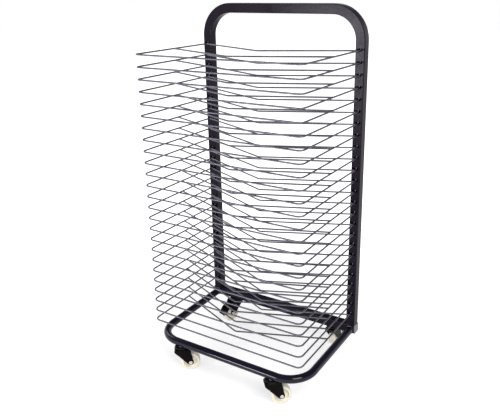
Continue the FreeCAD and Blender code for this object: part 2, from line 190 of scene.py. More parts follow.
sheet = bmesh.new()
bmesh.ops.create_grid(sheet, x_segments=1, y_segments=1, size=FLOOR_HALF)
floor_mesh = bpy.data.meshes.new("floor")
sheet.to_mesh(floor_mesh)
sheet.free()
floor = bpy.data.objects.new("floor", floor_mesh)
scene.collection.objects.link(floor)
print("floor reaches", max(vert.co.x for vert in floor_mesh.vertices), "m from the rack")

# %% [markdown]
# Close to the rack the floor is lit paper, so that a soft shadow shows under the wheels.
# Further out the lamps fade, so a ring mask on Object coordinates takes it over into the
# same white as the world, and no horizon shows. That white is a glow which only the camera,
# glass and reflections see, so it lights nothing. Reflections get only a share of it,
# because the lit paper they see as well is nearly white already.

# %% Floor paint
NEAR_GLOW = 0.45
PAPER = 0.72
GLOW_IN_GLOSS = 0.35
GLOW_RISES_AT = 0.25
GLOW_FULL_AT = 1.1


def seen_directly(tree, gloss_share):
    """1 for camera and transmission rays, a share for glossy ones, 0 for those that carry light."""
    rays = tree.nodes.new("ShaderNodeLightPath")
    clear = math_node(tree, "MAXIMUM", (rays, "Is Camera Ray"), (rays, "Is Transmission Ray"))
    shiny = math_node(tree, "MULTIPLY", (rays, "Is Glossy Ray"), gloss_share)
    return math_node(tree, "MAXIMUM", (clear, 0), (shiny, 0))


floor_paint = bpy.data.materials.new("white_sheet")
floor_paint.use_nodes = True
tree = floor_paint.node_tree
tree.nodes.clear()
place = tree.nodes.new("ShaderNodeTexCoord")
reach = tree.nodes.new("ShaderNodeVectorMath")
reach.operation = "LENGTH"
link(tree, place, "Object", reach, 0)
far = map_range(tree, (reach, "Value"), GLOW_RISES_AT, GLOW_FULL_AT, kind="SMOOTHSTEP")
paper = tree.nodes.new("ShaderNodeBsdfDiffuse")
paper.inputs["Color"].default_value = (PAPER, PAPER, PAPER, 1)
glow = tree.nodes.new("ShaderNodeEmission")
glow_level = math_node(tree, "MULTIPLY_ADD", (far, "Result"), 1 - NEAR_GLOW, NEAR_GLOW)
glow_seen = math_node(tree, "MULTIPLY", (seen_directly(tree, GLOW_IN_GLOSS), 0), (glow_level, 0))
link(tree, glow_seen, 0, glow, "Strength")
both = tree.nodes.new("ShaderNodeAddShader")
link(tree, paper, 0, both, 0)
link(tree, glow, 0, both, 1)
floor_out = tree.nodes.new("ShaderNodeOutputMaterial")
link(tree, both, 0, floor_out, "Surface")
floor.data.materials.append(floor_paint)
print("floor paint", floor_paint.name, "near glow", NEAR_GLOW)

# %% [markdown]
# ## Lamps
#
# How dark tube looks depends on what it reflects.
# A broad lamp high on the right models the shapes, and a weaker one on the left opens the
# shadows. A low window on the left front draws the thin bright line that runs along the
# round base tube, and greys the flat faces at the top of the hoop. It stands where a ray
# from the camera goes after it bounces off the middle of the tube.

# %% Lamps
RACK_MIDDLE = Vector((0, 0, 0.48))


def soft_lamp(name, place, width, height, watts):
    """A rectangular lamp that faces the middle of the rack."""
    data = bpy.data.lights.new(name, "AREA")
    data.shape = "RECTANGLE"
    data.size = width
    data.size_y = height
    data.energy = watts
    lamp = bpy.data.objects.new(name, data)
    scene.collection.objects.link(lamp)
    lamp.location = place
    lamp.rotation_mode = "QUATERNION"
    lamp.rotation_quaternion = (RACK_MIDDLE - lamp.location).to_track_quat("-Z", "Y")
    return lamp


key = soft_lamp("key", Vector((2.5, -1.5, 2.7)), width=1.7, height=1.7, watts=70)
fill = soft_lamp("fill", Vector((-2.9, 0.3, 2.2)), width=1.6, height=1.6, watts=22)
window = soft_lamp("window", Vector((-1.08, -2.75, 0.52)), width=0.85, height=0.64, watts=34)
window.data.color = (0.95, 0.91, 1.0)
print("lamps", [lamp.name for lamp in (key, fill, window)])

# %% [markdown]
# ## Shared effects
#
# All the finishes share a few effects, so each is built once as a node group. A group
# gives out only colours, masks and normals. The shader itself, with its fixed values, stays
# in each material. The groups read Object coordinates, which are metres here, so a noise
# scale of 400 means features of about 2.5 mm.

# %% Node group helpers
FLOAT, COLOUR, VECTOR = "NodeSocketFloat", "NodeSocketColor", "NodeSocketVector"


def new_group(name, inputs, outputs):
    """An empty shader node group with the given sockets, as (name, kind, default)."""
    group = bpy.data.node_groups.new(name, "ShaderNodeTree")
    for label, kind, default in inputs:
        socket = group.interface.new_socket(label, in_out="INPUT", socket_type=kind)
        if default is not None:
            socket.default_value = default
    for label, kind in outputs:
        group.interface.new_socket(label, in_out="OUTPUT", socket_type=kind)
    return group, group.nodes.new("NodeGroupInput"), group.nodes.new("NodeGroupOutput")


def noise_in(group, inp, detail, distortion=0.0):
    """A noise texture on Object coordinates whose scale is the group's own Scale input."""
    place = group.nodes.new("ShaderNodeTexCoord")
    noise = group.nodes.new("ShaderNodeTexNoise")
    noise.inputs["Detail"].default_value = detail
    noise.inputs["Distortion"].default_value = distortion
    link(group, place, "Object", noise, "Vector")
    link(group, inp, "Scale", noise, "Scale")
    return noise


print("group helpers:", [helper.__name__ for helper in (new_group, noise_in)])

# %% [markdown]
# No painted, moulded or drawn surface is quite smooth. Modelling its grain would take
# millions of faces, so a fine noise goes into a Bump node instead. The same group serves as
# orange peel on paint, as moulding grain on plastic and as drawing marks on steel.

# %% Fine skin
skin_group, inp, out = new_group(
    "fine_skin",
    [("Scale", FLOAT, 700.0), ("Depth", FLOAT, 0.0001), ("Strength", FLOAT, 0.3)],
    [("Normal", VECTOR)],
)
grain = noise_in(skin_group, inp, detail=3.0)
bump = skin_group.nodes.new("ShaderNodeBump")
link(skin_group, grain, "Fac", bump, "Height")
link(skin_group, inp, "Depth", bump, "Distance")
link(skin_group, inp, "Strength", bump, "Strength")
link(skin_group, bump, "Normal", out, "Normal")
print("group", skin_group.name)

# %% [markdown]
# One flat colour makes any material look like plastic. Here two close tones are mixed by a
# slow noise, and the same mask later makes the surface duller in some places than in others.

# %% Drifting colour
DRIFT_FROM, DRIFT_TO = 0.35, 0.65
MIX_A, MIX_B, MIX_RESULT = 6, 7, 2  # the colour sockets of a Mix node

drift_group, inp, out = new_group(
    "colour_drift",
    [("One", COLOUR, None), ("Two", COLOUR, None), ("Scale", FLOAT, 20.0)],
    [("Colour", COLOUR), ("Mask", FLOAT)],
)
cloud = noise_in(drift_group, inp, detail=4.0, distortion=0.4)
spread = map_range(drift_group, (cloud, "Fac"), DRIFT_FROM, DRIFT_TO)
mix = drift_group.nodes.new("ShaderNodeMix")
mix.data_type = "RGBA"
link(drift_group, spread, "Result", mix, "Factor")
link(drift_group, inp, "One", mix, MIX_A)
link(drift_group, inp, "Two", mix, MIX_B)
link(drift_group, mix, MIX_RESULT, out, "Colour")
link(drift_group, spread, "Result", out, "Mask")
print("group", drift_group.name)

# %% [markdown]
# Paint near the floor gets thin scratches from feet and brooms. A painted map could hold
# them, but a noise that is stretched along one direction and cut off near its peaks gives
# the same streaks, and a mask on the height lets them fade out upwards.

# %% Scuffs
SCRATCH_TURN = (0.5, 0.35, 0.2)
SCRATCH_STRETCH = (1, 6, 5)
SCRATCH_FROM, SCRATCH_TO = 0.62, 0.72

scuff_group, inp, out = new_group(
    "scuffs",
    [("Scale", FLOAT, 60.0), ("Full At", FLOAT, 0.0), ("Gone At", FLOAT, 0.2), ("Amount", FLOAT, 0.5)],
    [("Mask", FLOAT)],
)
place = scuff_group.nodes.new("ShaderNodeTexCoord")
stretched = scuff_group.nodes.new("ShaderNodeMapping")
stretched.inputs["Rotation"].default_value = SCRATCH_TURN
stretched.inputs["Scale"].default_value = SCRATCH_STRETCH
link(scuff_group, place, "Object", stretched, "Vector")
lines = scuff_group.nodes.new("ShaderNodeTexNoise")
lines.inputs["Detail"].default_value = 6
link(scuff_group, stretched, "Vector", lines, "Vector")
link(scuff_group, inp, "Scale", lines, "Scale")
sharp = map_range(scuff_group, (lines, "Fac"), SCRATCH_FROM, SCRATCH_TO)
apart = scuff_group.nodes.new("ShaderNodeSeparateXYZ")
link(scuff_group, place, "Object", apart, "Vector")
by_height = map_range(scuff_group, (apart, "Z"), 0, 1, 1, 0)
link(scuff_group, inp, "Full At", by_height, "From Min")
link(scuff_group, inp, "Gone At", by_height, "From Max")
here = math_node(scuff_group, "MULTIPLY", (sharp, "Result"), (by_height, "Result"))
some = math_node(scuff_group, "MULTIPLY", (here, 0), (inp, "Amount"))
link(scuff_group, some, 0, out, "Mask")
print("group", scuff_group.name)

# %% [markdown]
# ## Finishes
#
# Every finish is a Principled shader with drifting tone, fine skin and uneven roughness, so
# one helper lays out them all. Its fixed values are set on the shader's own sockets, and only
# what changes over the surface is wired in. Scuffs are laid over the tone where asked for.

# %% Finish helper
SCUFF_COLOUR = (0.11, 0.11, 0.12, 1)


def rgb(red, green, blue):
    """A colour as a socket takes it."""
    return (red, green, blue, 1)


def set_inputs(node, values):
    """Sets a node's inputs by name, with _ for a space."""
    for label, value in values.items():
        node.inputs[label.replace("_", " ")].default_value = value


def group_node(tree, group, **values):
    """Places a node group and sets its inputs."""
    node = tree.nodes.new("ShaderNodeGroup")
    node.node_tree = group
    set_inputs(node, values)
    return node


def new_finish(name, one, two, drift_scale, skin, roughness, scuffed=False, **fixed):
    """A material of two tones; skin is (scale, depth, strength) and roughness (low, high)."""
    material = bpy.data.materials.new(name)
    material.use_nodes = True
    tree = material.node_tree
    shader = tree.nodes["Principled BSDF"]
    set_inputs(shader, fixed)
    drift = group_node(tree, drift_group, One=one, Two=two, Scale=drift_scale)
    tone = (drift, "Colour")
    if scuffed:
        scuff = group_node(tree, scuff_group, Scale=150.0, Full_At=0.03, Gone_At=0.24, Amount=0.10)
        worn = tree.nodes.new("ShaderNodeMix")
        worn.data_type = "RGBA"
        worn.inputs[MIX_B].default_value = SCUFF_COLOUR
        link(tree, scuff, "Mask", worn, 0)
        link(tree, *tone, worn, MIX_A)
        tone = (worn, MIX_RESULT)
    link(tree, *tone, shader, "Base Color")
    scale, depth, strength = skin
    bumps = group_node(tree, skin_group, Scale=scale, Depth=depth, Strength=strength)
    link(tree, bumps, "Normal", shader, "Normal")
    uneven = map_range(tree, (drift, "Mask"), 0, 1, *roughness)
    link(tree, uneven, "Result", shader, "Roughness")
    return material


print("finishes are built from", [group.name for group in (skin_group, drift_group, scuff_group)])

# %% [markdown]
# ### Powder coat
#
# The hoop and crossbar are charcoal powder coat: baked paint with a satin gloss and a very
# fine orange peel. The base tube has the same coat in a bluer black and with more gloss,
# and the pressed caster steel a plain black one. A clear coat on top gives the base tube
# its second, sharper reflection.

# %% Powder coat finishes
COAT = dict(drift_scale=9.0, scuffed=True, Coat_Roughness=0.07)

frame_coat = new_finish(
    "powder_coat_frame", rgb(0.010, 0.006, 0.013), rgb(0.016, 0.011, 0.019),
    skin=(620.0, 0.00012, 0.30), roughness=(0.16, 0.24), Specular_IOR_Level=0.095, **COAT)
base_coat = new_finish(
    "powder_coat_base", rgb(0.006, 0.005, 0.014), rgb(0.010, 0.009, 0.019),
    skin=(620.0, 0.00012, 0.16), roughness=(0.12, 0.20), Specular_IOR_Level=0.15,
    Coat_Weight=0.36, **COAT)
caster_steel = new_finish(
    "caster_steel", rgb(0.006, 0.006, 0.007), rgb(0.010, 0.010, 0.011),
    skin=(620.0, 0.00012, 0.25), roughness=(0.27, 0.35), Specular_IOR_Level=0.20, **COAT)
print("powder coats", frame_coat.name, base_coat.name, caster_steel.name)

# %% [markdown]
# ### Wire and steel
#
# The shelves are steel wire with a zinc skin, which dulls unevenly, so the metal has two
# greys and a fine drawn roughness. Hidden steel, screws and rivets are plated and get
# brighter in that order. A metal takes its look from its colour and its roughness alone,
# so no other value needs setting.

# %% Metal finishes
wire_finish = new_finish(
    "zinc_wire", rgb(0.155, 0.155, 0.19), rgb(0.225, 0.225, 0.265), drift_scale=34.0,
    skin=(1500.0, 0.00005, 0.35), roughness=(0.44, 0.56), Metallic=1.0)

PLATED = dict(drift_scale=120.0, skin=(1100.0, 0.00005, 0.30), Metallic=1.0)
inner_steel = new_finish(
    "inner_steel", rgb(0.40, 0.40, 0.41), rgb(0.50, 0.49, 0.48), roughness=(0.40, 0.53), **PLATED)
screw_steel = new_finish(
    "screw_steel", rgb(0.50, 0.50, 0.53), rgb(0.60, 0.59, 0.58), roughness=(0.25, 0.38), **PLATED)
rivet_steel = new_finish(
    "rivet_silver", rgb(0.68, 0.68, 0.70), rgb(0.78, 0.77, 0.76), roughness=(0.19, 0.32), **PLATED)
print("metals", wire_finish.name, inner_steel.name, screw_steel.name, rivet_steel.name)

# %% [markdown]
# ### Nylon and plastic
#
# The wheels are cream nylon with a soft sheen, the forks and pedals glossy black nylon, and
# the plugs plain light grey plastic. Nylon is coloured all through, so it shows no scuffs,
# only a tone that drifts a little.

# %% Nylon and plastic finishes
wheel_nylon = new_finish(
    "wheel_cream", rgb(0.90, 0.85, 0.71), rgb(0.94, 0.90, 0.79), drift_scale=60.0,
    skin=(900.0, 0.00008, 0.25), roughness=(0.35, 0.43))
fork_nylon = new_finish(
    "fork_black", rgb(0.0022, 0.0014, 0.0014), rgb(0.0040, 0.0026, 0.0026), drift_scale=60.0,
    skin=(800.0, 0.00008, 0.12), roughness=(0.13, 0.21), Specular_IOR_Level=0.035,
    Coat_Weight=0.09, Coat_Roughness=0.04)
plug_plastic = new_finish(
    "end_plug", rgb(0.19, 0.19, 0.20), rgb(0.24, 0.24, 0.25), drift_scale=60.0,
    skin=(1200.0, 0.00008, 0.30), roughness=(0.42, 0.50))
print("plastics", wheel_nylon.name, fork_nylon.name, plug_plastic.name)

# %% [markdown]
# ## Finishes on the CAD pieces
#
# The record says which material slot each CAD node has. A table from slot to finish
# dresses all of them at once, so no node is forgotten.

# %% Dress the CAD pieces
FINISH_OF_SLOT = {
    "powder_coat_frame": frame_coat,
    "powder_coat_base": base_coat,
    "shelf_wire": wire_finish,
    "end_plug": plug_plastic,
    "inner_steel": inner_steel,
    "screw_steel": screw_steel,
    "caster_steel": caster_steel,
    "fork_black": fork_nylon,
    "wheel_cream": wheel_nylon,
    "rivet_silver": rivet_steel,
}
for row in frame["record"]["subparts"]:
    node = frame["nodes"][row["node"]]
    node.data.materials.clear()
    node.data.materials.append(FINISH_OF_SLOT[row["material_slot"]])

# %% [markdown]
# ## Tools for new pieces
#
# The CAD model has every part at its real size, but it leaves out what a bench hand would
# notice: weld beads, moulded ribs, domed rivets, the ledge round a caster's hood. Their
# small sizes are written in millimetres below and are made metres with one factor.
#
# Most of these are turned shapes, so the first helper spins a profile, as a lathe does. A
# cylinder with bevelled edges would do for a few of them, but rounding the corners of a
# profile before it is spun is cheaper and cleaner, and it works for every outline.

# %% Lathe
MM = 0.001
FULL_TURN = 2 * math.pi


def lathe(points, rounding=None, steps=48, closed=False):
    """Spins a profile of (radius, along) points in mm about the Y axis.

    rounding gives a radius for some of the points by number.
    """
    form = bmesh.new()
    corners = [form.verts.new((radius * MM, along * MM, 0)) for radius, along in points]
    following = corners[1:] + corners[:1] if closed else corners[1:]
    for one, two in zip(corners, following):
        form.edges.new((one, two))
    for number, radius in (rounding or {}).items():
        bmesh.ops.bevel(
            form, geom=[corners[number]], offset=radius * MM, offset_type="OFFSET",
            segments=4, profile=0.5, affect="VERTICES", material=-1)
    bmesh.ops.spin(
        form, geom=form.verts[:] + form.edges[:], cent=(0, 0, 0), axis=(0, 1, 0), dvec=(0, 0, 0),
        angle=FULL_TURN, steps=steps, use_merge=True, use_duplicate=False)
    bmesh.ops.remove_doubles(form, verts=form.verts[:], dist=0.002 * MM)
    bmesh.ops.recalc_face_normals(form, faces=form.faces[:])
    return form


trial = lathe([(0, 0), (5, 0), (5, 10), (0, 10)], {1: 1, 2: 1})
print("a turned rod with rounded ends has", len(trial.faces), "faces")
trial.free()

# %% [markdown]
# A caster's hood is not turned. Its outline looks like a belt pulled round a few pulleys,
# and that is just what the convex hull of a few short cylinders is. The hull's flat faces
# come out in triangles, which are dissolved again before the rims are rounded.

# %% Belt
UPRIGHT_AXIS = Matrix.Rotation(FULL_TURN / 4, 4, "X")


def belt(circles, width, edge_radius=0.0):
    """A slab bounded by a belt round circles (x, z, radius), all in mm, with rounded rims."""
    form = bmesh.new()
    for x, z, radius in circles:
        spot = Matrix.Translation((x * MM, 0, z * MM)) @ UPRIGHT_AXIS
        bmesh.ops.create_cone(
            form, cap_ends=False, segments=48, radius1=radius * MM, radius2=radius * MM,
            depth=width * MM, matrix=spot)
    bmesh.ops.delete(form, geom=form.edges[:], context="EDGES_FACES")
    bmesh.ops.convex_hull(form, input=form.verts[:])
    unused = [vert for vert in form.verts if not vert.link_faces]
    bmesh.ops.delete(form, geom=unused, context="VERTS")
    bmesh.ops.dissolve_limit(
        form, angle_limit=math.radians(1), verts=form.verts[:], edges=form.edges[:])
    bmesh.ops.recalc_face_normals(form, faces=form.faces[:])
    if edge_radius:
        rims = [e for e in form.edges if any(abs(face.normal.y) > 0.9 for face in e.link_faces)]
        bmesh.ops.bevel(
            form, geom=rims, offset=edge_radius * MM, segments=5, profile=0.5,
            affect="EDGES", material=-1)
    return form


trial = belt([(0, 0, 5), (20, 0, 3)], 4, 0.5)
print("a belt round two circles has", len(trial.faces), "faces")
trial.free()

# %% [markdown]
# Ribs, grips and the body of a plug are boxes. No real edge is perfectly sharp, and a small
# rounding is what catches the light. Holes are cut with a plain rod, which needs none.

# %% Rounded block and bore
def block(size, place, edge_radius):
    """A box of a size in mm about a place in mm, with all its edges rounded."""
    form = bmesh.new()
    scale = Matrix.Diagonal([length * MM for length in size] + [1])
    shape = Matrix.Translation(Vector(place) * MM) @ scale
    bmesh.ops.create_cube(form, size=1, matrix=shape)
    bmesh.ops.bevel(
        form, geom=form.edges[:], offset=edge_radius * MM, segments=3, profile=0.5,
        affect="EDGES", material=-1)
    return form


def bore(radius, length, place, turn=Matrix()):
    """A rod about a place in mm, to cut a hole with; it lies along Z unless it is turned."""
    rod = bmesh.new()
    bmesh.ops.create_cone(
        rod, cap_ends=True, segments=32, radius1=radius * MM, radius2=radius * MM,
        depth=length * MM, matrix=Matrix.Translation(Vector(place) * MM) @ turn)
    return rod


for trial in (block((10, 20, 30), (0, 0, 0), 2), bore(3, 20, (0, 0, 0))):
    print("a shape with", len(trial.faces), "faces")
    trial.free()

# %% [markdown]
# Bodies that only touch may lie side by side in one mesh. Where one has to melt into
# another, or a hole goes through, a Boolean modifier with the exact solver does it. Its
# result is read back from the dependency graph as a bmesh, so more can be done with it.

# %% Join and cut
def add(form, other, matrix=Matrix()):
    """Puts another bmesh into a form, moved by a matrix."""
    bmesh.ops.transform(other, matrix=matrix, verts=other.verts[:])
    carrier = bpy.data.meshes.new("carrier")
    other.to_mesh(carrier)
    other.free()
    form.from_mesh(carrier)
    bpy.data.meshes.remove(carrier)


def carve(form, tool, operation):
    """Joins a form with a tool or cuts it by the tool, with a Boolean modifier."""
    pair = []
    for name, shape in (("blank", form), ("tool", tool)):
        mesh = bpy.data.meshes.new(name)
        shape.to_mesh(mesh)
        shape.free()
        thing = bpy.data.objects.new(name, mesh)
        scene.collection.objects.link(thing)
        pair.append(thing)
    modifier = pair[0].modifiers.new("carve", "BOOLEAN")
    modifier.operation = operation
    modifier.solver = "EXACT"
    modifier.object = pair[1]
    evaluated = pair[0].evaluated_get(bpy.context.evaluated_depsgraph_get())
    result = bmesh.new()
    result.from_mesh(evaluated.to_mesh())
    evaluated.to_mesh_clear()
    for thing in pair:
        bpy.data.objects.remove(thing)
    return result


trial = carve(block((10, 10, 10), (0, 0, 0), 1), bore(3, 20, (0, 0, 0)), "DIFFERENCE")
print("a rounded block with a bore has", len(trial.faces), "faces")
trial.free()

# %% [markdown]
# A finished form becomes an object that rides on one of the model's bodies. Smooth shading
# over a corner smears the light, so edges above an angle stay sharp, and a Weighted Normal
# modifier lets the large faces decide where the shading of a rounded rim ends.

# %% Piece
SHARP_ABOVE = math.radians(35)
SHORTEST_EDGE = 0.004


def piece_from(form, name, finish, body, stands_for=()):
    """Makes a finished, smooth-shaded object of a bmesh that already lies in its place."""
    bmesh.ops.dissolve_degenerate(form, dist=SHORTEST_EDGE * MM, edges=form.edges[:])
    bmesh.ops.recalc_face_normals(form, faces=form.faces[:])
    for face in form.faces:
        face.smooth = True
    for edge in form.edges:
        edge.smooth = len(edge.link_faces) == 2 and edge.calc_face_angle() < SHARP_ABOVE
    mesh = bpy.data.meshes.new(name)
    form.to_mesh(mesh)
    form.free()
    mesh.materials.append(finish)
    piece = bpy.data.objects.new(name, mesh)
    scene.collection.objects.link(piece)
    even = piece.modifiers.new("even shading", "WEIGHTED_NORMAL")
    even.keep_sharp = True
    even.weight = 100
    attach(piece, body)
    if stands_for:
        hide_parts(*stands_for)
    return piece


print("edges above", round(math.degrees(SHARP_ABOVE)), "degrees stay sharp")

# %% [markdown]
# ## Casters
#
# A caster is easiest to model in its own axes: X runs back along its trail, Y along the
# axle, Z up, and the origin is where its stem meets the tube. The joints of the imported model
# give the stem and the wheel centre, and from those two points comes the matrix that takes a
# finished shape to its place. The sizes that are left are read from the CAD nodes, seen in
# the same axes.

# %% Caster axes
CASTERS = ["front_left", "front_right", "rear_left", "rear_right"]
BRAKED = ["rear_left", "rear_right"]
joint_place = {joint["name"]: Vector(joint["pos_m"]) for joint in frame["joints"]}


def caster_axes(name):
    """The matrix from a caster's own axes to the frame's."""
    stem = joint_place[name + "_swivel"]
    trail = joint_place[name + "_roll"] - stem
    return Matrix.Translation(stem) @ Matrix.Rotation(math.atan2(trail.y, trail.x), 4, "Z")


def own_box(node, axes):
    """The lowest and highest corner of a CAD node in a caster's own axes, in mm."""
    places = [axes.inverted() @ vert.co / MM for vert in frame["nodes"][node].data.vertices]
    low = Vector([min(place[i] for place in places) for i in range(3)])
    high = Vector([max(place[i] for place in places) for i in range(3)])
    return low, high


axes = caster_axes("rear_left")
axle_at = axes.inverted() @ joint_place["rear_left_roll"] / MM
pin_at = axes.inverted() @ joint_place["rear_left_brake"] / MM
fork_low, fork_high = own_box("fork_rear_left", axes)
ring_low, ring_high = own_box("swivel_ring_rear_left", axes)
wheel_high = own_box("wheel_rear_left", axes)[1]
pedal_high = own_box("brake_pedal_rear_left", axes)[1]
wheel_radius = wheel_high.x - axle_at.x
print("wheel radius", round(wheel_radius, 2), "fork width", round(2 * fork_high.y, 2))

# %% [markdown]
# ### Wheels
#
# The wheels are moulded nylon: a broad hub, a thin web with six ribs on each side, and a
# heavy rim with a soft shoulder. The two halves of the mould leave a fine ridge round the
# middle of the tread. One closed profile, spun about the axle, makes all of that but the
# ribs, which are small blocks turned about the same axle.

# %% Wheel shape
BORE_R = 3.1
HUB_R = 8.5
HUB_EDGE_R = 0.8
RIM_INSIDE_R = 19.0
RIM_HALF = 11.0
RIM_EDGE_R = 0.9
WEB_HALF = 4.5
WEB_FILLET_R = 1.2
TREAD_SHOULDER = 3.0
MOULD_RIDGE = 0.15
RIB_COUNT = 6
RIB_THICK = 2.0
RIB_HALF = 7.0
RIB_ROOT = 0.5
RIB_EDGE_R = 0.5


def wheel_shape():
    """A wheel about its own centre, with the axle along Y."""
    hub_half = wheel_high.y
    tread = wheel_radius - MOULD_RIDGE
    upper = [
        (BORE_R, hub_half), (HUB_R, hub_half), (HUB_R, WEB_HALF), (RIM_INSIDE_R, WEB_HALF),
        (RIM_INSIDE_R, RIM_HALF), (tread, RIM_HALF), (tread, 2 * MOULD_RIDGE),
    ]
    ridge = [(wheel_radius, MOULD_RIDGE), (wheel_radius, -MOULD_RIDGE)]
    lower = [(radius, -along) for radius, along in reversed(upper)]
    points = upper + ridge + lower
    corner_radii = (HUB_EDGE_R, WEB_FILLET_R, WEB_FILLET_R, RIM_EDGE_R, TREAD_SHOULDER)
    rounding = {}
    for side in (0, len(points) - 1):
        for number, radius in enumerate(corner_radii, 1):
            rounding[abs(side - number)] = radius
    form = lathe(points, rounding, steps=64, closed=True)
    rib_size = (RIM_INSIDE_R - HUB_R + 2 * RIB_ROOT, 2 * RIB_HALF, RIB_THICK)
    rib_place = ((RIM_INSIDE_R + HUB_R) / 2, 0, 0)
    for number in range(RIB_COUNT):
        turn = Matrix.Rotation(FULL_TURN * number / RIB_COUNT, 4, "Y")
        add(form, block(rib_size, rib_place, RIB_EDGE_R), turn)
    return form


for name in CASTERS:
    form = wheel_shape()
    place = caster_axes(name) @ Matrix.Translation(axle_at * MM)
    bmesh.ops.transform(form, matrix=place, verts=form.verts[:])
    wheel = piece_from(
        form, "nylon_wheel_" + name, wheel_nylon, "wheel_" + name, ["wheel_" + name])
    print(wheel.name, "faces", len(wheel.data.polygons))

# %% [markdown]
# ### Hoods
#
# The fork of each caster is a glossy black hood. Its outline is a belt round four circles:
# the nose, the brow over the wheel, the boss at the axle and a heel in front of the boss.
# The cap is a little fuller than the cheeks below it, so a fine ledge runs round the hood
# and catches the light. Both bodies are belts, joined by a Boolean. A third, narrower belt
# cuts the room for the wheel, and a bore lets the kingpin through. A raised ring surrounds
# the axle on each cheek.

# %% Hood shape
NOSE_R = 6.5
BROW_R = 6.0
BROW_BACK = 25.5
HEEL_FORWARD = 3.5
HEEL_UP = 1.0
HEEL_R = 7.5
CAP_EDGE_R = 3.2
CHEEK_EDGE_R = 2.2
CHEEK_STEP = 0.7
CHEEK_THICK = 2.2
NOSE_THICK = 2.4
TOP_THICK = 2.5
LEDGE_DROP = 19.5
LEDGE_SLOPE = 0.12
LEDGE_EDGE_R = 0.56
KINGPIN_HOLE_R = 4.3
BOSS_RING_R = 7.0
BOSS_RING_ROOT = 1.0
BOSS_RING_BELOW_CAP = 0.05
BOSS_RING_EDGE_R = 0.4


def cap_shape(circles, top):
    """The fuller upper half of a hood, cut off at the ledge."""
    cap = belt(circles, 2 * fork_high.y, CAP_EDGE_R)
    bmesh.ops.bisect_plane(
        cap, geom=cap.verts[:] + cap.edges[:] + cap.faces[:],
        plane_co=(0, 0, (top - LEDGE_DROP) * MM), plane_no=(LEDGE_SLOPE, 0, 1), clear_inner=True)
    open_rim = [edge for edge in cap.edges if edge.is_boundary]
    bmesh.ops.holes_fill(cap, edges=open_rim)
    bmesh.ops.bevel(
        cap, geom=open_rim, offset=LEDGE_EDGE_R * MM, segments=3, profile=0.5,
        affect="EDGES", material=-1)
    bmesh.ops.recalc_face_normals(cap, faces=cap.faces[:])
    return cap


def boss_ring(side):
    """The raised ring round the axle on one cheek."""
    root = fork_high.y - CHEEK_STEP - BOSS_RING_ROOT
    crest = fork_high.y - BOSS_RING_BELOW_CAP
    ring = [(BORE_R, root), (BOSS_RING_R, root), (BOSS_RING_R, crest), (BORE_R, crest)]
    turned_round = [(radius, side * along) for radius, along in ring]
    return lathe(turned_round, {2: BOSS_RING_EDGE_R}, closed=True)


def hood_shape():
    """A hood in a caster's own axes."""
    half = fork_high.y
    top = fork_high.z
    nose_x = fork_low.x + NOSE_R
    brow_x = BROW_BACK - BROW_R
    boss = (axle_at.x, axle_at.z, axle_at.z - fork_low.z)
    heel = (axle_at.x - HEEL_FORWARD, axle_at.z + HEEL_UP, HEEL_R)
    full = [(nose_x, top - NOSE_R, NOSE_R), (brow_x, top - BROW_R, BROW_R)]
    slim = [(x, z, radius - CHEEK_STEP) for x, z, radius in full]
    cheeks = belt(slim + [boss, heel], 2 * (half - CHEEK_STEP), CHEEK_EDGE_R)
    hood = carve(cheeks, cap_shape(full + [boss, heel], top), "UNION")
    nose_inside = NOSE_R - NOSE_THICK
    reach = 3 * wheel_radius  # far enough to leave the hood open behind and below
    room = [
        (nose_x, top - NOSE_R, nose_inside),
        (axle_at.x + reach, top - TOP_THICK - BROW_R, BROW_R),
        (axle_at.x + reach, axle_at.z - reach, BROW_R),
        (nose_x, axle_at.z - reach, nose_inside),
    ]
    hood = carve(hood, belt(room, 2 * (half - CHEEK_THICK)), "DIFFERENCE")
    hood = carve(hood, bore(KINGPIN_HOLE_R, 2 * NOSE_R, (0, 0, top)), "DIFFERENCE")
    for side in (-1, 1):
        add(hood, boss_ring(side), Matrix.Translation(axle_at * MM))
    return hood


for name in CASTERS:
    form = hood_shape()
    bmesh.ops.transform(form, matrix=caster_axes(name), verts=form.verts[:])
    hood = piece_from(
        form, "hood_" + name, fork_nylon, "swivel_" + name, ["fork_" + name])
    print(hood.name, "faces", len(hood.data.polygons))

# %% [markdown]
# ### Rivets
#
# The axle is a rivet with a shallow domed head, dimpled where the punch closed it. A
# bevelled cylinder would show neither dome nor dimple, so the head is turned from its real
# profile. On the rear casters a thin pin crosses the hood as well, which is where the brake
# pedal turns.

# %% Rivet shape
RIVET_SHANK_R = 3.0
RIVET_HEAD_R = 5.25
RIVET_HEAD_T = 1.6
RIVET_HEAD_EDGE_R = 0.5
RIVET_RIM_T = 0.7
CROWN_DROP = 0.1
DIMPLE_R = 1.7
DIMPLE_DEEP = 0.5
DIMPLE_EDGE_R = 0.3
PIN_R = 1.5
PIN_EDGE_R = 0.4


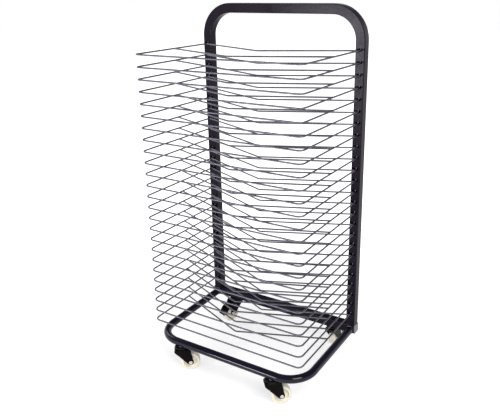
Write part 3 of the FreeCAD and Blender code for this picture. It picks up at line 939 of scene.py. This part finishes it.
def rivet_shape(braked):
    """An axle rivet in a caster's own axes, with the pedal's pin where there is a brake."""
    seat = fork_high.y
    crown = seat + RIVET_HEAD_T
    half = [
        (0, crown - DIMPLE_DEEP), (DIMPLE_R - DIMPLE_DEEP, crown - DIMPLE_DEEP), (DIMPLE_R, crown),
        (RIVET_SHANK_R, crown - CROWN_DROP), (RIVET_HEAD_R, seat + RIVET_RIM_T),
        (RIVET_HEAD_R, seat), (RIVET_SHANK_R, seat),
    ]
    points = half + [(radius, -along) for radius, along in reversed(half)]
    last = len(points) - 1
    rounding = {2: DIMPLE_EDGE_R, 4: RIVET_HEAD_EDGE_R}
    rounding.update({last - number: radius for number, radius in rounding.items()})
    form = lathe(points, rounding)
    bmesh.ops.translate(form, vec=axle_at * MM, verts=form.verts[:])
    if braked:
        ends = [(0, seat), (PIN_R, seat), (PIN_R, -seat), (0, -seat)]
        pin = lathe(ends, {1: PIN_EDGE_R, 2: PIN_EDGE_R}, steps=24)
        add(form, pin, Matrix.Translation((pin_at.x * MM, 0, pin_at.z * MM)))
    return form


for name in CASTERS:
    form = rivet_shape(name in BRAKED)
    bmesh.ops.transform(form, matrix=caster_axes(name), verts=form.verts[:])
    rivet = piece_from(
        form, "axle_rivet_" + name, rivet_steel, "swivel_" + name, ["axle_" + name])
    print(rivet.name, "faces", len(rivet.data.polygons))

# %% [markdown]
# ### Ball races
#
# Between the stem's flange and the hood lies the ball race: two pressed cups that meet in a
# groove. Seen from outside they are one ring, so one turned profile stands for both.

# %% Ball race shape
RACE_BORE_R = 6.0
RACE_GROOVE = 0.8
RACE_EDGE_R = 0.35


def race_shape():
    """A ball race in a caster's own axes."""
    outside = ring_high.x
    middle = (ring_low.z + ring_high.z) / 2
    points = [
        (RACE_BORE_R, ring_high.z), (outside, ring_high.z), (outside, middle + RACE_GROOVE / 2),
        (outside - RACE_GROOVE, middle), (outside, middle - RACE_GROOVE / 2),
        (outside, ring_low.z), (RACE_BORE_R, ring_low.z),
    ]
    form = lathe(points, {1: RACE_EDGE_R, 5: RACE_EDGE_R}, closed=True)
    bmesh.ops.transform(form, matrix=UPRIGHT_AXIS, verts=form.verts[:])
    return form


for name in CASTERS:
    form = race_shape()
    bmesh.ops.transform(form, matrix=caster_axes(name), verts=form.verts[:])
    race = piece_from(
        form, "ball_race_" + name, caster_steel, "frame", ["swivel_ring_" + name])
    print(race.name, "faces", len(race.data.polygons))

# %% [markdown]
# ### Brake pedals
#
# The pedal is a shield bent round the wheel. A U-shaped section is spun part of a turn about
# the axle, so the shield gets skirts that reach down beside the tread. An eye at its root
# turns on the pin. A lip across its toe and three bars keep a shoe from slipping.

# %% Sweep round the axle
DEGREES_PER_STEP = 4


def swept_round_axle(section, first, last, rounding=()):
    """Sweeps a closed section of (radius, along) points in mm about the axle between angles."""
    form = bmesh.new()
    corners = [form.verts.new((radius * MM, along * MM, 0)) for radius, along in section]
    form.faces.new(corners)
    for number, radius in rounding:
        bmesh.ops.bevel(
            form, geom=[corners[number]], offset=radius * MM, offset_type="OFFSET",
            segments=3, profile=0.5, affect="VERTICES", material=-1)
    begin = Matrix.Rotation(-math.radians(first), 4, "Y")
    bmesh.ops.transform(form, matrix=begin, verts=form.verts[:])
    bmesh.ops.spin(
        form, geom=form.verts[:] + form.edges[:] + form.faces[:], cent=(0, 0, 0), axis=(0, -1, 0),
        dvec=(0, 0, 0), angle=math.radians(last - first),
        steps=max(3, round((last - first) / DEGREES_PER_STEP)), use_merge=False,
        use_duplicate=False)
    bmesh.ops.recalc_face_normals(form, faces=form.faces[:])
    return form


trial = swept_round_axle([(20, -5), (22, -5), (22, 5), (20, 5)], 0, 90)
print("a strip bent through 90 degrees has", len(trial.faces), "faces")
trial.free()

# %% Pedal shape
PEDAL_CLEAR = 2.6
PEDAL_THICK = 3.0
PEDAL_EDGE_R = 1.6
PEDAL_TOE_ANGLE = 8.0
PEDAL_ROOT_ANGLE = 112.0
SKIRT_REACH = 6.5
SKIRT_THICK = 1.2
LIP_RISE = 3.4
LIP_ROOT = 1.0
LIP_ANGLE = 7.0
LIP_EDGE_R = 1.5
GRIP_ANGLES = (22.0, 30.0, 38.0)
GRIP_RISE = 0.7
GRIP_INSET = 2.5
GRIP_DEEP = 1.6
GRIP_WIDE = 1.8
GRIP_EDGE_R = 0.5
EYE_R = 3.2
EYE_EDGE_R = 0.6
PIN_PLAY = 0.1


def shield_shape(half, inner, outer):
    """The bent shield with its skirts and its bored eye, in a caster's own axes."""
    skirt_end = inner - SKIRT_REACH
    inside = half - SKIRT_THICK
    section = [
        (outer, -half), (outer, half), (skirt_end, half), (skirt_end, inside),
        (inner, inside), (inner, -inside), (skirt_end, -inside), (skirt_end, -half),
    ]
    rounding = ((0, PEDAL_EDGE_R), (1, PEDAL_EDGE_R))
    shield = swept_round_axle(section, PEDAL_TOE_ANGLE, PEDAL_ROOT_ANGLE, rounding)
    bmesh.ops.translate(shield, vec=axle_at * MM, verts=shield.verts[:])
    ends = [(0, half), (EYE_R, half), (EYE_R, -half), (0, -half)]
    eye = lathe(ends, {1: EYE_EDGE_R, 2: EYE_EDGE_R}, steps=32)
    bmesh.ops.translate(eye, vec=pin_at * MM, verts=eye.verts[:])
    shield = carve(shield, eye, "UNION")
    return carve(shield, bore(PIN_R + PIN_PLAY, 4 * half, pin_at, UPRIGHT_AXIS), "DIFFERENCE")


def pedal_shape():
    """A brake pedal in a caster's own axes."""
    half = pedal_high.y
    inner = wheel_radius + PEDAL_CLEAR
    outer = inner + PEDAL_THICK
    form = shield_shape(half, inner, outer)
    about_axle = Matrix.Translation(axle_at * MM)
    root = inner + LIP_ROOT
    crest = outer + LIP_RISE
    lip = [(root, -half), (crest, -half), (crest, half), (root, half)]
    lip_end = PEDAL_TOE_ANGLE + LIP_ANGLE
    rounding = ((1, LIP_EDGE_R), (2, LIP_EDGE_R))
    add(form, swept_round_axle(lip, PEDAL_TOE_ANGLE, lip_end, rounding), about_axle)
    grip_size = (GRIP_DEEP, 2 * (half - GRIP_INSET), GRIP_WIDE)
    grip_place = (outer + GRIP_RISE - GRIP_DEEP / 2, 0, 0)
    for angle in GRIP_ANGLES:
        turn = Matrix.Rotation(-math.radians(angle), 4, "Y")
        add(form, block(grip_size, grip_place, GRIP_EDGE_R), about_axle @ turn)
    return form


for name in BRAKED:
    form = pedal_shape()
    bmesh.ops.transform(form, matrix=caster_axes(name), verts=form.verts[:])
    pedal = piece_from(
        form, "pedal_shield_" + name, fork_nylon, "pedal_" + name,
        ["brake_pedal_" + name])
    print(pedal.name, "faces", len(pedal.data.polygons))

# %% [markdown]
# ## Weld beads
#
# The two arms of the base butt on the crossbar and are welded all round. A bead could be a
# plain torus, but a small round section spun about the arm, with a wave pushed into it,
# gives the overlapping scales that a welder's hand leaves.

# %% Arm welds
BEAD_R = 1.9
BEAD_SIDES = 10
BEAD_OUT = 0.3
BEAD_IN_CORNER = 0.5
BEAD_WAVES = 30
BEAD_WAVE = 0.16
STEPS_PER_WAVE = 6
face_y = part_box("upright_frame")[0][1]
base_low, base_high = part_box("base_tube")
arm_r = (base_high[2] - base_low[2]) / 2
arm_z = (base_high[2] + base_low[2]) / 2
for side, label in ((-1, "left"), (1, "right")):
    form = bmesh.new()
    bmesh.ops.create_circle(
        form, cap_ends=False, segments=BEAD_SIDES, radius=BEAD_R * MM,
        matrix=Matrix.Translation((arm_r + BEAD_OUT * MM, 0, 0)))
    bmesh.ops.spin(
        form, geom=form.verts[:] + form.edges[:], cent=(0, 0, 0), axis=(0, 1, 0), dvec=(0, 0, 0),
        angle=FULL_TURN, steps=STEPS_PER_WAVE * BEAD_WAVES, use_merge=True, use_duplicate=False)
    for vert in form.verts:
        wave = math.cos(BEAD_WAVES * math.atan2(vert.co.z, vert.co.x))
        swell = 1 + BEAD_WAVE * MM / arm_r * wave
        vert.co.x *= swell
        vert.co.z *= swell
    arm_x = side * (base_high[0] - arm_r)
    corner = (arm_x, face_y - BEAD_IN_CORNER * MM, arm_z)
    bmesh.ops.translate(form, vec=corner, verts=form.verts[:])
    bead = piece_from(form, "arm_weld_" + label, base_coat, "frame")
    print(bead.name, "faces", len(bead.data.polygons))

# %% [markdown]
# The V wires are spot-welded between the side wires of each shelf. There the metal flows
# together into a small flat nugget. There are a hundred of them, so each is a sphere of only
# 48 faces, flattened by the matrix that places it.

# %% Shelf welds
VEE_STARTS = (6.0, 146.0)
NUGGET = (2.7, 3.1, 2.35)
NUGGET_IN = 1.3
flattened = Matrix.Diagonal([size * MM for size in NUGGET] + [1])
shelf_joints = [joint for joint in frame["joints"] if joint["child"].startswith("shelf_")]
side_wire_x = base_high[0] - arm_r
for joint in shelf_joints:
    form = bmesh.new()
    shelf_z = joint["pos_m"][2]
    for side in (-1, 1):
        for start in VEE_STARTS:
            place = (side * (side_wire_x - NUGGET_IN * MM), face_y - start * MM, shelf_z)
            shape = Matrix.Translation(place) @ flattened
            bmesh.ops.create_uvsphere(form, u_segments=8, v_segments=6, radius=1, matrix=shape)
    shelf = joint["child"]
    welds = piece_from(form, shelf + "_welds", wire_finish, shelf)
print("shelf welds", len(shelf_joints), "faces each", len(welds.data.polygons))

# %% [markdown]
# ## End plugs
#
# The plugs that close the crossbar have a rounded rim and a shallow dish, as moulded plugs
# do so that their middle doesn't sink. The dish is two insets of the outer face, the second
# of them pushed in. The insets together stay under the corner's radius, because an inset
# past it folds over itself.

# %% End plugs
PLUG_CORNER_R = 2.0
PLUG_RIM = 1.1
PLUG_SLOPE = 0.6
PLUG_DISH = 0.6
PLUG_EDGE_R = 0.25
PLUG_BODY = 8.0
PLUG_BODY_EDGE_R = 0.8
PLUG_WALL_ROOM = 1.7
plug_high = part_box("crossbar_end_plugs")[1]
bar_low, bar_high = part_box("rear_crossbar")
flange = (plug_high[0] - bar_high[0]) / MM
depth = (bar_high[1] - bar_low[1]) / MM
height = (bar_high[2] - bar_low[2]) / MM


def plug_shape():
    """A plug about the middle of its flange, with the dish towards +X."""
    plate = bmesh.new()
    bmesh.ops.create_cube(
        plate, size=1, matrix=Matrix.Diagonal([flange * MM, depth * MM, height * MM, 1]))
    corners = [e for e in plate.edges if abs((e.verts[0].co - e.verts[1].co).x) > flange * MM / 2]
    bmesh.ops.bevel(
        plate, geom=corners, offset=PLUG_CORNER_R * MM, segments=4, profile=0.5,
        affect="EDGES", material=-1)
    outside = [face for face in plate.faces if face.normal.x > 0.9]
    bmesh.ops.inset_region(plate, faces=outside, thickness=PLUG_RIM * MM, depth=0)
    bmesh.ops.inset_region(
        plate, faces=outside, thickness=PLUG_SLOPE * MM, depth=-PLUG_DISH * MM)
    soft = [e for e in plate.edges if e.calc_face_angle() > SHARP_ABOVE and e.verts[0].co.x > 0]
    bmesh.ops.bevel(
        plate, geom=soft, offset=PLUG_EDGE_R * MM, segments=2, profile=0.5,
        affect="EDGES", material=-1)
    body_size = (PLUG_BODY, depth - 2 * PLUG_WALL_ROOM, height - 2 * PLUG_WALL_ROOM)
    add(plate, block(body_size, (-(PLUG_BODY + flange) / 2, 0, 0), PLUG_BODY_EDGE_R))
    return plate


flange_at = Vector((
    (plug_high[0] + bar_high[0]) / 2, (bar_low[1] + bar_high[1]) / 2, (bar_low[2] + bar_high[2]) / 2))
turned_about = Matrix.Rotation(FULL_TURN / 2, 4, "Z")
plug_form = bmesh.new()
for side, facing in ((-1, turned_about), (1, Matrix())):
    spot = Matrix.Translation((side * flange_at.x, flange_at.y, flange_at.z))
    add(plug_form, plug_shape(), spot @ facing)
plugs = piece_from(
    plug_form, "end_plug_pair", plug_plastic, "frame", ["crossbar_end_plugs"])
print(plugs.name, "faces", len(plugs.data.polygons))

# %% [markdown]
# ## Frame screws
#
# One screw under each upright holds it down on the crossbar. Its head is turned like a
# rivet's, and its six-sided socket is cut with a cylinder of only six segments.

# %% Frame screws
SCREW_R = 3.0
SCREW_TIP_EDGE_R = 0.5
SCREW_HEAD_R = 5.5
SCREW_HEAD_EDGE_R = 0.6
SOCKET_R = 2.9
SOCKET_DEEP = 2.6
screw_low, screw_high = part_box("frame_screws")


def screw_shape():
    """A screw along Z with its head down, at the heights of the frame."""
    bottom = screw_low[2] / MM
    seat = bar_low[2] / MM
    tip = screw_high[2] / MM
    profile = [
        (0, bottom), (SCREW_HEAD_R, bottom), (SCREW_HEAD_R, seat), (SCREW_R, seat),
        (SCREW_R, tip), (0, tip),
    ]
    screw = lathe(profile, {1: SCREW_HEAD_EDGE_R, 4: SCREW_TIP_EDGE_R}, steps=36)
    bmesh.ops.transform(screw, matrix=UPRIGHT_AXIS, verts=screw.verts[:])
    socket = bmesh.new()
    bmesh.ops.create_cone(
        socket, cap_ends=True, segments=6, radius1=SOCKET_R * MM, radius2=SOCKET_R * MM,
        depth=2 * SOCKET_DEEP * MM, matrix=Matrix.Translation((0, 0, bottom * MM)))
    return carve(screw, socket, "DIFFERENCE")


screw_x = screw_high[0] - SCREW_HEAD_R * MM
screw_y = (screw_low[1] + screw_high[1]) / 2
screw_form = bmesh.new()
for side in (-1, 1):
    add(screw_form, screw_shape(), Matrix.Translation((side * screw_x, screw_y, 0)))
screws = piece_from(
    screw_form, "socket_screws", screw_steel, "frame", ["frame_screws"])
print(screws.name, "faces", len(screws.data.polygons))
